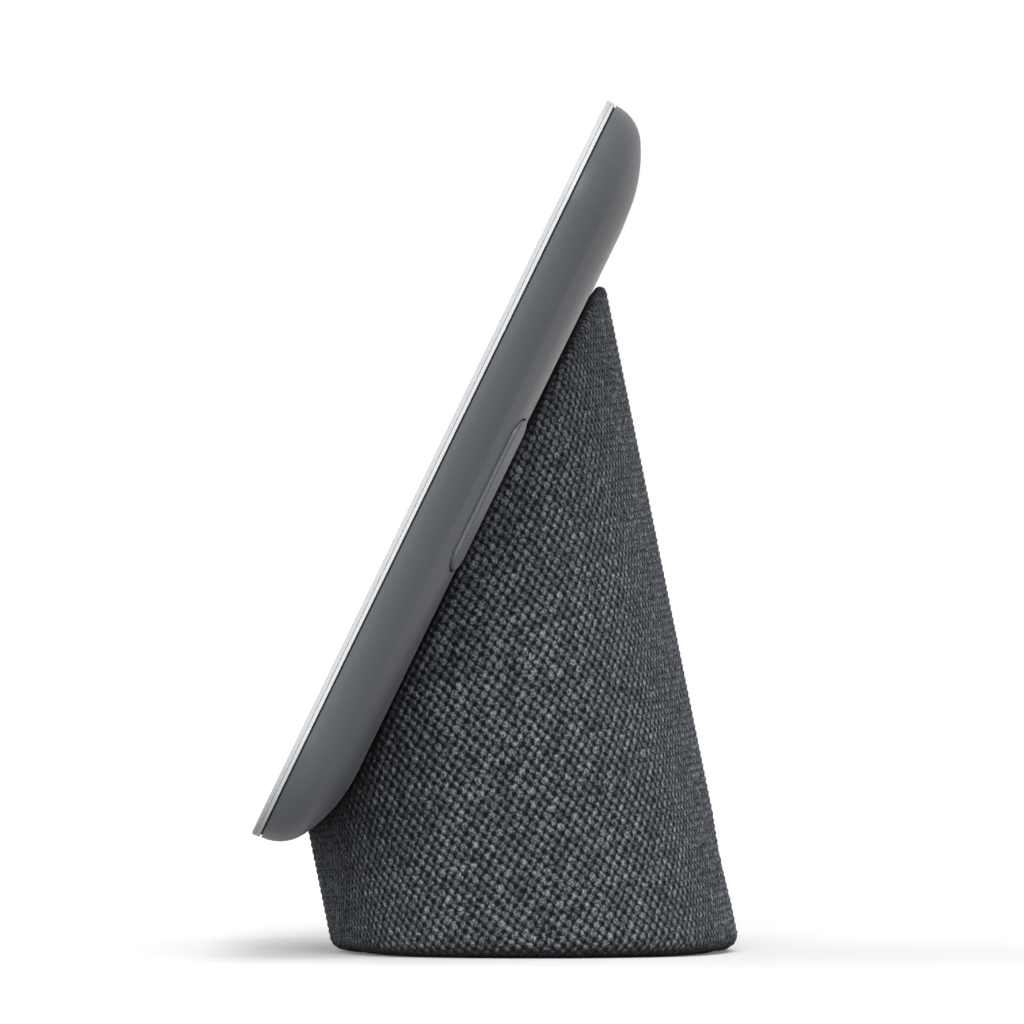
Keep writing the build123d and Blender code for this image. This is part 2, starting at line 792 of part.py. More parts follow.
# Volume rocker and its switches
with BuildPart() as volume_rocker:
    with BuildSketch(rocker_plane.offset(-rocker_body)):
        SlotOverall(rocker_length, rocker_width)
    extrude(amount=rocker_body + rocker_proud)
    fillet(volume_rocker.faces().sort_by(Axis(rocker_plane.origin, rocker_plane.z_dir))[-1].edges(), rocker_crown)
    with BuildSketch(rocker_plane.offset(-rocker_leg_drop)):
        with Locations(*leg_spots):
            Rectangle(rocker_leg_size, rocker_leg_size)
    extrude(amount=rocker_leg_drop - rocker_body)
    with BuildSketch(rocker_plane.offset(-rocker_hub_drop)):
        Rectangle(rocker_hub_length, rocker_hub_width)
    extrude(amount=rocker_hub_drop - rocker_body)
    with BuildSketch(rocker_across.offset(-rocker_pin_reach)):
        Circle(rocker_pin_radius)
    extrude(amount=2 * rocker_pin_reach)
save(volume_rocker, "volume_rocker")

with BuildPart() as volume_switches:
    with BuildSketch(rocker_plane.offset(-switch_board_drop - switch_board_thickness)):
        Rectangle(switch_board_length, switch_board_width)
        with Locations(*post_spots):
            Circle(stake_radius + layer_gap, mode=Mode.SUBTRACT)
    extrude(amount=switch_board_thickness)
    with BuildSketch(rocker_plane.offset(-switch_board_drop)):
        with Locations(*leg_spots):
            Rectangle(switch_size, switch_size)
    extrude(amount=switch_thickness)
    rods(rocker_plane.offset(switch_thickness - switch_board_drop), leg_spots, plunger_radius, plunger_height)
save(volume_switches, "volume_switches")

# Microphone slider, drawn at the end of its travel where the microphones are on
slider_rest = -slider_travel / 2
slider_width = slider_pocket_width - 2 * slider_gap
with BuildPart() as mic_slider:
    with BuildSketch(at_depth(back_depth - slider_sink)):
        with Locations((slider_rest, slider_row)):
            SlotOverall(slider_length, slider_width)
    extrude(amount=slider_pocket_depth - slider_sink - slider_float)
    with BuildSketch(at_depth(back_depth - slider_sink)):
        for step in (-1, 0, 1):
            with Locations((slider_rest + step * slider_ridge_step, slider_row)):
                Rectangle(slider_ridge, slider_width - 2 * slider_ridge_step)
    extrude(amount=slider_ridge_depth, mode=Mode.SUBTRACT)
    stem_foot = inner_back - mic_switch_gap - mic_switch_pocket + slider_float
    slab(slider_stem_length, slider_stem_width, stem_foot, pocket_floor + slider_float + slider_sink,
         x=slider_rest, row=slider_row)
save(mic_slider, "mic_slider")

with BuildPart() as mic_switch:
    switch_back = inner_back - mic_switch_gap
    slab(mic_switch_length, mic_switch_width, mic_board_back, switch_back, row=slider_row)
    with BuildSketch(at_depth(switch_back)):
        with Locations((0, slider_row)):
            Rectangle(slider_travel + slider_stem_length + 2 * slider_stem_gap,
                      slider_stem_width + 2 * slider_stem_gap)
    extrude(amount=mic_switch_pocket, mode=Mode.SUBTRACT)
    slab(mic_board_length, mic_board_width, mic_board_back - mic_board_thickness, mic_board_back, row=slider_row)
save(mic_switch, "mic_switch")

with BuildPart() as mute_marker:
    marker_front = pocket_floor - marker_recess
    slab(marker_length, marker_width, marker_front, marker_front + marker_thickness,
         x=marker_place, row=slider_row)
save(mute_marker, "mute_marker")

# Base skins: fabric outside, shell inside
inlet_plane = at_rear(0.0, inlet_height)
shell_outside = base_block(shell_inset, foot_thickness, base_edge_radius - shell_inset)
fabric_inside = base_block(fabric_thickness, fabric_lift + fabric_thickness, base_edge_radius - fabric_thickness)
fabric_fold = fabric_joint_gap + fabric_thickness + fabric_gap


def faces_panel(face):
    """True for a face that looks towards the panel."""
    return face.normal_at().dot(panel_back) < -0.3


with BuildPart() as fabric_sleeve:
    add(base_block(0.0, fabric_lift, base_edge_radius))
    add(panel_block(fabric_joint_gap), mode=Mode.SUBTRACT)
    roof = fabric_sleeve.faces().filter_by(faces_panel)
    fillet([edge for edge in roof.edges() if sum(edge in face.edges() for face in roof) == 1], fabric_fold_radius)
    add(fabric_inside - panel_block(fabric_joint_gap + fabric_thickness), mode=Mode.SUBTRACT)
    add(base_block(fabric_hem, 0.0), mode=Mode.SUBTRACT)
    with BuildSketch(inlet_plane):
        Circle(inlet_ring_radius + inlet_fabric_gap)
    extrude(amount=base_half_depth + 1, mode=Mode.SUBTRACT)
save(fabric_sleeve, "fabric_sleeve")

with BuildPart() as stand_lugs:
    lug_front = back_depth + shell_joint_gap
    for side in (-1, 1):
        for row in lug_rows:
            slab(base_half_width - lug_inner, lug_height, lug_front, lug_front + lug_depth,
                 x=side * (base_half_width + lug_inner) / 2, row=row)

with BuildPart() as shell_fittings:
    add(stand_lugs.part)
    rods(Plane.XY.offset(plate_top), base_screw_spots, base_boss_radius, base_boss_height)
    rods(driver_plane, baffle_spots, baffle_boss, base_half_depth - baffle_rear)
    with BuildSketch(at_rear(jack_front - jack_length, inlet_height)):
        Rectangle(jack_size + 2 * jack_gap + 2 * cradle_wall, jack_size)
        with Locations((0, -jack_size / 2 - cradle_wall / 2)):
            Rectangle(jack_size + 2 * jack_gap + 2 * cradle_wall, cradle_wall)
        with Locations((0, jack_gap)):
            Rectangle(jack_size + 2 * jack_gap, jack_size + 2 * jack_gap, mode=Mode.SUBTRACT)
    extrude(amount=base_half_depth - jack_front + jack_length)

with BuildPart() as base_shell:
    add(shell_outside)
    add(base_block(inner_inset, 0.0), mode=Mode.SUBTRACT)
    add(shell_fittings.part & shell_outside)
    add(panel_block(fabric_fold), mode=Mode.SUBTRACT)
    add(stand_lugs.part & base_block(fabric_hem + fabric_gap, 0.0))
    rods(at_depth(back_depth), stand_spots, large_shank + screw_clearance,
         -(stand_screw_length + shell_joint_gap), Mode.SUBTRACT)
    rods(Plane.XY.offset(plate_top), base_screw_spots, large_shank + screw_clearance, base_screw_length,
         Mode.SUBTRACT)
    rods(driver_plane, baffle_spots, small_shank + screw_clearance, baffle_screw_reach, Mode.SUBTRACT)
    with BuildSketch(at_rear(jack_front, inlet_height)):
        Circle(inlet_ring_radius + inlet_seat_gap)
    extrude(amount=base_half_depth - jack_front, mode=Mode.SUBTRACT)
    with BuildSketch(driver_plane):
        Circle(sound_hole_radius)
        for ring in range(1, sound_hole_rings + 1):
            with PolarLocations(ring * sound_hole_pitch, 6 * ring):
                Circle(sound_hole_radius)
    extrude(amount=base_half_depth - baffle_rear, mode=Mode.SUBTRACT)
save(base_shell, "base_shell")

# Bottom plate, foot, weights and screws
with BuildPart() as bottom_plate:
    add(base_block(inner_inset + plate_gap, foot_thickness))
    split(bisect_by=Plane.XY.offset(plate_top), keep=Keep.BOTTOM)
    rods(Plane.XY.offset(foot_thickness), base_screw_spots, large_head + screw_clearance, large_head_height,
         Mode.SUBTRACT)
    rods(Plane.XY.offset(foot_thickness), base_screw_spots, large_shank + 2 * screw_clearance, plate_thickness,
         Mode.SUBTRACT)
save(bottom_plate, "bottom_plate")

with BuildPart() as base_screws:
    base_seat = Plane.XY.offset(foot_thickness + large_head_height)
    rods(base_seat, base_screw_spots, large_head, screw_clearance - large_head_height)
    rods(base_seat, base_screw_spots, large_shank, base_screw_length)
save(base_screws, "base_screws")

with BuildPart() as rubber_foot:
    add(base_block(foot_inset, 0.0))
    split(bisect_by=Plane.XY.offset(foot_thickness), keep=Keep.BOTTOM)
    groove = base_block(foot_groove_inset, 0.0) - base_block(foot_groove_inset + foot_groove_width, 0.0)
    add(groove.split(Plane.XY.offset(foot_groove_depth), keep=Keep.BOTTOM), mode=Mode.SUBTRACT)
save(rubber_foot, "rubber_foot")

with BuildPart() as base_weights:
    with BuildSketch(Plane.XY.offset(plate_top)):
        for side in (-1, 1):
            with Locations((side * (weight_start + weight_width / 2), plate_middle + weight_front + weight_depth / 2)):
                Rectangle(weight_width, weight_depth)
    extrude(amount=weight_thickness)
save(base_weights, "base_weights")

# Speaker box and baffle
baffle_front = baffle_rear - baffle_thickness
with BuildPart() as speaker_baffle:
    with BuildSketch(driver_plane):
        RectangleRounded(baffle_width, baffle_height, baffle_boss)
        Circle(driver_hole_radius, mode=Mode.SUBTRACT)
        with Locations(*driver_spots):
            Circle(small_shank + screw_clearance, mode=Mode.SUBTRACT)
        with Locations(*baffle_spots):
            Circle(small_shank + 2 * screw_clearance, mode=Mode.SUBTRACT)
    extrude(amount=-baffle_thickness)
save(speaker_baffle, "speaker_baffle")

with BuildPart() as speaker_box:
    box_foot = speaker_height - box_drop
    box_back_top = joint_height + box_back * joint_slope - box_joint_clearance
    with BuildSketch(base_side(0.0)):
        with BuildLine():
            Polyline((baffle_front, box_foot), (baffle_front, speaker_height + box_rise),
                     (box_back, box_back_top), (box_back, box_foot), close=True)
        make_face()
    extrude(amount=box_half_width, both=True)
    box_mouth = speaker_box.faces().sort_by(Axis(base_plane.origin, base_plane.y_dir))[-1]
    offset(amount=-box_wall, openings=box_mouth)
    terminal_row = basket_foot - terminal_length / 2
    grommet_row = speaker_height - terminal_row - terminal_length / 2
    with BuildSketch(at_rear(box_back - 1, grommet_row)):
        with Locations((-speaker_cable_x, 0)):
            Circle(speaker_cable_radius + grommet_gap)
    extrude(amount=box_wall + 2, mode=Mode.SUBTRACT)
save(speaker_box, "speaker_box")

with BuildPart() as baffle_screws:
    with BuildSketch(driver_plane.offset(-baffle_thickness)):
        with Locations(*baffle_spots):
            Circle(small_head)
    extrude(amount=-2 * small_head_height)
    rods(driver_plane.offset(-baffle_thickness), baffle_spots, small_shank, baffle_thickness + baffle_screw_reach)
save(baffle_screws, "baffle_screws")

# Driver, from its fixed frame to its moving parts
with BuildPart() as driver_seal:
    with BuildSketch(driver_plane):
        RectangleRounded(driver_flange, driver_flange, driver_flange_corner)
        Circle(driver_hole_radius, mode=Mode.SUBTRACT)
        with Locations(*driver_spots):
            Circle(small_shank + 2 * screw_clearance, mode=Mode.SUBTRACT)
    extrude(amount=driver_gasket)
save(driver_seal, "driver_seal")

with BuildPart() as driver_basket:
    with BuildSketch(driver_plane.offset(driver_gasket)):
        RectangleRounded(driver_flange, driver_flange, driver_flange_corner)
        Circle(basket_mouth, mode=Mode.SUBTRACT)
        with Locations(*driver_spots):
            Circle(small_shank + 2 * screw_clearance, mode=Mode.SUBTRACT)
    extrude(amount=driver_flange_thickness)
    turned((basket_inner, -basket_depth), (basket_foot, -basket_depth), (basket_top, driver_gasket),
           (basket_mouth, driver_gasket), (basket_foot - basket_wall, basket_wall - basket_depth),
           (basket_inner, basket_wall - basket_depth))
    with BuildSketch(driver_plane.offset(2 * basket_wall - basket_depth)):
        for turn in (0, 90):
            Rectangle(3 * basket_top, basket_window, rotation=turn)
    extrude(amount=basket_depth - 4 * basket_wall, mode=Mode.SUBTRACT)
save(driver_basket, "driver_basket")

with BuildPart() as driver_screws:
    pan_screws(driver_plane.offset(flange_back), driver_spots, small_head, 2 * small_head_height,
               small_shank, driver_screw_length)
save(driver_screws, "driver_screws")

cup_bottom = -basket_depth - cup_depth
with BuildPart() as driver_cup:
    cup_inner = cup_radius - cup_wall
    turned((0, cup_bottom), (cup_radius, cup_bottom), (cup_radius, -basket_depth), (cup_inner, -basket_depth),
           (cup_inner, cup_bottom + cup_floor), (0, cup_bottom + cup_floor))
save(driver_cup, "driver_cup")

pole_foot = -basket_depth - pole_thickness
with BuildPart() as driver_magnet:
    tube(0, magnet_radius, cup_bottom + cup_floor, pole_foot)
save(driver_magnet, "driver_magnet")

with BuildPart() as driver_pole:
    tube(0, pole_radius, pole_foot, -basket_depth)
save(driver_pole, "driver_pole")

former_outer = coil_inner + former_wall
with BuildPart() as voice_coil:
    tube(coil_inner, former_outer, -coil_bottom, -coil_top)
    tube(former_outer, former_outer + winding_wall, -coil_bottom, winding_height - coil_bottom)
save(voice_coil, "voice_coil")

with BuildPart() as speaker_cone:
    turned((former_outer, -cone_neck_drop), (cone_rim, cone_rim_height - cone_sheet),
           (cone_rim, cone_rim_height), (former_outer, cone_sheet - cone_neck_drop))
save(speaker_cone, "speaker_cone")

with BuildPart() as dust_cap:
    cap_radius = (former_outer ** 2 + cap_rise ** 2) / (2 * cap_rise)
    cap_middle = cap_rise - cap_radius - coil_top
    cap_half = former_outer / 2
    cap_inner = sqrt((cap_radius - cap_sheet) ** 2 - (coil_top + cap_middle) ** 2)
    with BuildSketch(driver_section):
        with BuildLine():
            ThreePointArc((former_outer, -coil_top), (cap_half, cap_middle + sqrt(cap_radius ** 2 - cap_half ** 2)),
                          (0, cap_middle + cap_radius))
            Line((0, cap_middle + cap_radius), (0, cap_middle + cap_radius - cap_sheet))
            ThreePointArc((0, cap_middle + cap_radius - cap_sheet),
                          (cap_half, cap_middle + sqrt((cap_radius - cap_sheet) ** 2 - cap_half ** 2)),
                          (cap_inner, -coil_top))
            Line((cap_inner, -coil_top), (former_outer, -coil_top))
        make_face()
    revolve(axis=driver_axis)
save(dust_cap, "dust_cap")

with BuildPart() as speaker_surround:
    roll_inner = roll_radius - rubber_sheet / 2
    roll_outer = roll_radius + rubber_sheet / 2
    lip_top = flange_back + rubber_sheet
    lip_reach = sqrt(roll_outer ** 2 - rubber_sheet ** 2)
    with BuildSketch(driver_section):
        with BuildLine():
            Polyline((roll_middle - lip_reach, lip_top), (surround_inner, lip_top), (surround_inner, flange_back),
                     (roll_middle - roll_inner, flange_back))
            ThreePointArc((roll_middle - roll_inner, flange_back), (roll_middle, flange_back + roll_inner),
                          (roll_middle + roll_inner, flange_back))
            Polyline((roll_middle + roll_inner, flange_back), (surround_outer, flange_back),
                     (surround_outer, lip_top), (roll_middle + lip_reach, lip_top))
            ThreePointArc((roll_middle + lip_reach, lip_top), (roll_middle, flange_back + roll_outer),
                          (roll_middle - lip_reach, lip_top))
        make_face()
    revolve(axis=driver_axis)
save(speaker_surround, "speaker_surround")

with BuildPart() as speaker_spider:
    wave = (spider_seat - spider_inner) / (2 * spider_waves)
    waves = [(spider_outer, -spider_low), (spider_seat, -spider_low)]
    waves += [(spider_seat - step * wave, -spider_high if step % 2 else -spider_low)
              for step in range(1, 2 * spider_waves)]
    waves += [(spider_inner, -spider_high)]
    with BuildSketch(driver_section):
        with BuildLine():
            Polyline(*waves)
        trace(line_width=spider_sheet)
    revolve(axis=driver_axis)
save(speaker_spider, "speaker_spider")

with BuildPart() as driver_terminals:
    with BuildSketch(driver_plane.offset(-basket_depth - terminal_thickness)):
        with Locations((-speaker_cable_x, -terminal_row - terminal_length / 2)):
            Rectangle(terminal_width, terminal_length)
    extrude(amount=terminal_thickness)
save(driver_terminals, "driver_terminals")

# Power inlet and cables
with BuildPart() as inlet_ring:
    with BuildSketch(at_rear(jack_front + jack_gap, inlet_height)):
        Circle(inlet_ring_radius)
        Circle(inlet_bore_radius, mode=Mode.SUBTRACT)
    extrude(amount=base_half_depth - inlet_sink - jack_front - jack_gap)
save(inlet_ring, "inlet_ring")

with BuildPart() as power_jack:
    with BuildSketch(at_rear(jack_front, inlet_height)):
        Rectangle(jack_size, jack_size)
    extrude(amount=-jack_length)
    rods(at_rear(jack_front, inlet_height), [(0, 0)], socket_radius, -socket_depth, Mode.SUBTRACT)
save(power_jack, "power_jack")

with BuildPart() as jack_pin:
    rods(at_rear(jack_front - socket_depth, inlet_height), [(0, 0)], pin_radius, socket_depth - pin_short)
save(jack_pin, "jack_pin")


def cable(x, radius, *start):
    """Round cable from its start, up the front of the base and through the slot to the main board."""
    rise = (back_depth - cable_depth) / sin(lean + tilt)
    corner = (cable_front, joint_height + cable_front * joint_slope + rise)
    with BuildLine(base_side(x)) as path:
        FilletPolyline(*start, corner, in_base(board_foot + connector_reach, cable_depth), radius=cable_bend)
    with BuildSketch(Plane(origin=path.line @ 0, z_dir=path.line % 0)) as outline:
        Circle(radius)
    sweep(outline.sketch, path=path.line)


with BuildPart() as power_cable:
    cable(power_cable_x, power_cable_radius, (jack_front - jack_length, inlet_height), (cable_front, inlet_height))
save(power_cable, "power_cable")

with BuildPart() as speaker_cable:
    terminal_end = baffle_rear - basket_depth - terminal_thickness
    cable(speaker_cable_x, speaker_cable_radius, (terminal_end, grommet_row), (cable_front, grommet_row))
save(speaker_cable, "speaker_cable")
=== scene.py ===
import json
from collections import namedtuple
from math import atan2, cos, hypot, pi, radians, sin, tan

import bmesh
import bpy
import numpy as np
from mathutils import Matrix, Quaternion, Vector


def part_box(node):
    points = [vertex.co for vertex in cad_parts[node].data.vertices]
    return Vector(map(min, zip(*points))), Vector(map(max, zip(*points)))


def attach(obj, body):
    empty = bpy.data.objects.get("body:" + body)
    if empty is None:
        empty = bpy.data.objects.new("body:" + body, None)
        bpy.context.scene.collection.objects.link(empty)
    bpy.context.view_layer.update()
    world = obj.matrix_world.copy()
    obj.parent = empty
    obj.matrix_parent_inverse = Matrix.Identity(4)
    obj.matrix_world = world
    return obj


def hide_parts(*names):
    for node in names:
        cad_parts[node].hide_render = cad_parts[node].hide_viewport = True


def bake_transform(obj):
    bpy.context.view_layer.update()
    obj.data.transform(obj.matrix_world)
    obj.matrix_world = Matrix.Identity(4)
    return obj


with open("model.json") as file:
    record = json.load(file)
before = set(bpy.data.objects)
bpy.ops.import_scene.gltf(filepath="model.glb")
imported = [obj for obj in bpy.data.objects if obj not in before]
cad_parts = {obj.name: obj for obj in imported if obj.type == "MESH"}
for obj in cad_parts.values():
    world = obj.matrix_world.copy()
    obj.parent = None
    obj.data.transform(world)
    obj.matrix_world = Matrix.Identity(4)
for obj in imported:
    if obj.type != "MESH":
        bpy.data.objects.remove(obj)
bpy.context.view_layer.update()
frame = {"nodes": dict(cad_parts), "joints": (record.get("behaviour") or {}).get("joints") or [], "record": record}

nodes = frame["nodes"]
scene = bpy.context.scene

# Sizes of the part in millimetres, as in its source
overall_depth = 68.6
panel_lift = 18.03
panel_lean = radians(25.9)
rim_inset = 0.15
rim_depth = 1.45
edge_tight_radius = 6.0
edge_wide_radius = 21.8
edge_knee = radians(60.0)
base_lean = radians(11.53)
base_half_width = 50.0
base_half_depth = 28.6
base_end_radius = 24.5
base_edge_radius = 2.0
glass_thickness = 0.7
pane_clearance = 0.03
fabric_lift = 0.4
fabric_hem = 3.3
fabric_joint_gap = 0.2
fabric_fold_radius = 0.95
fabric_tuck = 1.5
tuck_press = 0.04
inlet_height = 8.0
inlet_hole_radius = 6.5
inlet_rim_depth = 0.8

# Knit of the sleeve: rows of beads, each row half a bead along from the one below
beads_round = 164
row_pitch = 0.97
bead_relief = 0.27
bead_rise = 0.10
hem_relief_share = 0.3

# Divisions of the meshes
columns_per_bead = 4
steps_per_row = 2
hem_steps = 2
foot_steps = 6
fold_steps = 5
ring_sectors = 8

# Limits used while the meshes are made: heights and distances in millimetres, the rest shares or counts
highest_wall = 120.0
foot_search_top = 40.0
foot_search_bottom = -20.0
search_halvings = 40
row_margin = 0.3
inlet_search_share = 1.3
weld_distance = 0.0001

# Camera, from the fit of the photo's edges: metres, and millimetres for the sensor
camera_distance = 2.86
camera_height = 0.06292
camera_along = 0.00207
view_width = 0.1467
sensor_width = 36.0

# Light and floor
world_level = 0.03
world_front = 0.95
world_back = 0.25
world_far = 0.50
floor_glow = 0.15
floor_bounce = 0.20
floor_tone = 0.95
floor_half_size = 40.0

# Look of the knit: sizes in millimetres, the stray of a bead in beads and rows
knit_colour = (0.124, 0.136, 0.157)
stray_size = 10 / 9
bead_stray = (0.70, 0.76, 0.0)
fibre_size = 0.32
patch_size = 2.6
# Reach of the painted shade in the nooks of the knit, in millimetres
nook_size = 3.0
knit_bump = 0.15
bead_bump_share = 1.60

# Look of the other materials, sizes in millimetres
drift_size = 14.0
grain_contrast = 0.05
gloss_contrast = 0.05
brushed_line_size = 2.0
track_wave_scale = 0.35
paper_fibre_size = 0.5
frost_size = 0.2
clear_tint = (0.97, 0.98, 0.98)
ground_edge_tint = (0.62, 0.63, 0.64)

# Values that follow
back_inset = rim_inset + edge_tight_radius * (1 - cos(edge_knee)) + edge_wide_radius * cos(edge_knee)
back_depth = rim_depth + edge_tight_radius * sin(edge_knee) + edge_wide_radius * (1 - sin(edge_knee))
bulge = base_half_depth - base_end_radius
end_middle = base_half_width - base_end_radius
side_drop = (end_middle ** 2 - bulge ** 2) / (2 * bulge)
side_radius = side_drop + base_half_depth
end_turn = atan2(side_drop, end_middle)
base_rear_foot = (overall_depth / 2 + base_edge_radius * (1 / cos(base_lean) - 1)
                  + (fabric_lift + base_edge_radius) * tan(base_lean))
base_origin = np.array([0.0, base_rear_foot - base_half_depth / cos(base_lean), 0.0])
base_x = np.array([1.0, 0.0, 0.0])
base_back = np.array([0.0, cos(base_lean), sin(base_lean)])
base_up = np.array([0.0, -sin(base_lean), cos(base_lean)])
floor_up = np.array([0.0, 0.0, 1.0])
panel_foot = np.array([0.0, -overall_depth / 2, panel_lift])
panel_up = np.array([0.0, sin(panel_lean), cos(panel_lean)])
panel_back = np.array([0.0, cos(panel_lean), -sin(panel_lean)])

# A column of the sleeve: the numbers of its points from hem to tuck, and the row step of its wall's first
Column = namedtuple("Column", "hem wall fold first_step")


# Shader nodes
def node(tree, kind, inputs=None, **settings):
    """A shader node with its settings, and its sockets set to values or linked to other sockets."""
    made = tree.nodes.new(kind)
    for key, value in settings.items():
        setattr(made, key, value)
    for key, value in (inputs or {}).items():
        if isinstance(value, bpy.types.NodeSocket):
            tree.links.new(value, made.inputs[key])
        else:
            made.inputs[key].default_value = value
    return made


def maths(tree, operation, *values):
    return node(tree, "ShaderNodeMath", dict(enumerate(values)), operation=operation).outputs[0]


def vector_maths(tree, operation, *values):
    return node(tree, "ShaderNodeVectorMath", dict(enumerate(values)), operation=operation).outputs[0]


def noise_texture(tree, place, size, detail):
    """Cloudy pattern whose grains are about size millimetres wide."""
    return node(tree, "ShaderNodeTexNoise", {"Vector": place, "Scale": 1.0 / size, "Detail": detail})


def noise(tree, place, size, detail=3.0):
    """Strength of a cloudy pattern, from 0 to 1."""
    return noise_texture(tree, place, size, detail).outputs[0]


def spread(tree, value, low, high, start=0.3, end=0.7):
    """Value from start to end, spread over low to high."""
    return node(tree, "ShaderNodeMapRange", {0: value, 1: start, 2: end, 3: low, 4: high}).outputs[0]


def mix_colours(tree, share, first, second):
    """First colour where share is 0, second where it is 1."""
    sockets = {0: share, 6: (*first, 1), 7: (*second, 1)}
    return node(tree, "ShaderNodeMix", sockets, data_type="RGBA").outputs[2]


def place_of(tree, stretch=(1, 1, 1)):
    """Place on the part in millimetres, stretched where a grain runs one way."""
    where = node(tree, "ShaderNodeTexCoord").outputs["Object"]
    scale = tuple(1000 * share for share in stretch)
    return node(tree, "ShaderNodeMapping", {"Vector": where, "Scale": scale}).outputs[0]


def seen_directly(tree):
    """1 for rays from the camera, a mirror or a glass, and 0 for the light that falls on things."""
    path = node(tree, "ShaderNodeLightPath").outputs
    mirrored = maths(tree, "MAXIMUM", path["Is Camera Ray"], path["Is Glossy Ray"])
    return maths(tree, "MAXIMUM", mirrored, path["Is Transmission Ray"])


def bump(tree, shader, height, depth):
    """Relief of depth millimetres where height goes from 0 to 1."""
    relief = node(tree, "ShaderNodeBump", {"Height": height, "Distance": depth / 1000})
    tree.links.new(relief.outputs[0], shader.inputs["Normal"])


# Camera and stage
def add_camera():
    camera = bpy.data.objects.new("camera", bpy.data.cameras.new("camera"))
    scene.collection.objects.link(camera)
    camera.location = (camera_distance, camera_along, camera_height)
    camera.rotation_euler = (radians(90), 0, radians(90))
    camera.data.sensor_width = sensor_width
    camera.data.lens = sensor_width * camera_distance / view_width
    camera.data.clip_start = 0.1
    camera.data.clip_end = 100
    scene.camera = camera


def add_light(name, side, height, spread_angle, level):
    """Soft studio light from side degrees to the right of the camera and height degrees above the floor.
    At level 1, a surface that faces it shows its own colour."""
    data = bpy.data.lights.new(name, "SUN")
    data.angle = radians(spread_angle)
    data.energy = pi * level
    light = bpy.data.objects.new(name, data)
    scene.collection.objects.link(light)
    side, height = radians(side), radians(height)
    towards = Vector((cos(side) * cos(height), sin(side) * cos(height), sin(height)))
    light.rotation_euler = towards.to_track_quat("Z", "Y").to_euler()
    light.location = towards


def set_world():
    """White to the eye; its light is soft all round, and stronger from the front and the far side."""
    world = bpy.data.worlds.new("studio")
    world.use_nodes = True
    tree = world.node_tree
    tree.nodes.clear()
    towards = node(tree, "ShaderNodeTexCoord").outputs["Generated"]
    right, back, _ = node(tree, "ShaderNodeSeparateXYZ", {0: towards}).outputs
    far_share = maths(tree, "MAXIMUM", maths(tree, "MULTIPLY", right, -world_far), 0.0)
    end_share = maths(tree, "MAXIMUM", maths(tree, "MULTIPLY", back, -world_front),
                      maths(tree, "MULTIPLY", back, world_back))
    level = maths(tree, "ADD", maths(tree, "ADD", far_share, end_share), world_level)
    strength = node(tree, "ShaderNodeMix", {0: seen_directly(tree), 2: level, 3: 1.0})
    light = node(tree, "ShaderNodeBackground", {"Color": (1, 1, 1, 1), "Strength": strength.outputs[0]})
    node(tree, "ShaderNodeOutputWorld", {"Surface": light.outputs[0]})
    scene.world = world


def add_floor():
    """Pale floor that shows the object's shadow; it returns less light to the object than it shows."""
    mesh = bpy.data.meshes.new("floor")
    near, far = -floor_half_size, floor_half_size
    corners = [(near, near, 0), (far, near, 0), (far, far, 0), (near, far, 0)]
    mesh.from_pydata(corners, [], [(0, 1, 2, 3)])
    floor = bpy.data.objects.new("floor", mesh)
    scene.collection.objects.link(floor)
    material = bpy.data.materials.new("floor")
    material.use_nodes = True
    tree = material.node_tree
    tree.nodes.clear()
    direct = seen_directly(tree)
    tint = spread(tree, direct, floor_bounce, floor_tone, start=0.0, end=1.0)
    matt = node(tree, "ShaderNodeBsdfDiffuse", {"Color": tint})
    glow = node(tree, "ShaderNodeEmission", {"Strength": maths(tree, "MULTIPLY", direct, floor_glow)})
    both = node(tree, "ShaderNodeAddShader", {0: matt.outputs[0], 1: glow.outputs[0]})
    node(tree, "ShaderNodeOutputMaterial", {"Surface": both.outputs[0]})
    mesh.materials.append(material)


# Materials
def start_material(name, **constants):
    """A material with its tree and shader; a constant's name is its socket's, with _ for each space."""
    material = bpy.data.materials.new(name)
    material.use_nodes = True
    tree = material.node_tree
    shader = tree.nodes["Principled BSDF"]
    for key, value in constants.items():
        shader.inputs[key.replace("_", " ")].default_value = value
    return material, tree, shader


def moulded(name, colour, rough, grain=0.35, depth=0.012, vary=0.10, **constants):
    """Plastic, rubber or foam: fine grain, slight drift of colour and gloss."""
    material, tree, shader = start_material(name, **constants)
    place = place_of(tree)
    drift = noise(tree, place, drift_size)
    fine = noise(tree, place, grain)
    tint = spread(tree, drift, 1 - vary, 1 + vary)
    speck = spread(tree, fine, 1 - grain_contrast, 1 + grain_contrast)
    factor = maths(tree, "MULTIPLY", tint, speck)
    tree.links.new(vector_maths(tree, "MULTIPLY", colour, factor), shader.inputs["Base Color"])
    gloss = spread(tree, fine, rough - gloss_contrast, rough + gloss_contrast)
    tree.links.new(gloss, shader.inputs["Roughness"])
    bump(tree, shader, fine, depth)
    return material


def metal(name, colour, rough, run=(1, 12, 12), depth=0.006):
    """Metal with fine lines along one direction."""
    material, tree, shader = start_material(name, Metallic=1.0)
    lines = noise(tree, place_of(tree, run), brushed_line_size, detail=5.0)
    factor = spread(tree, lines, 0.88, 1.08)
    tree.links.new(vector_maths(tree, "MULTIPLY", colour, factor), shader.inputs["Base Color"])
    tree.links.new(spread(tree, lines, rough - 0.06, rough + 0.10), shader.inputs["Roughness"])
    bump(tree, shader, lines, depth)
    return material


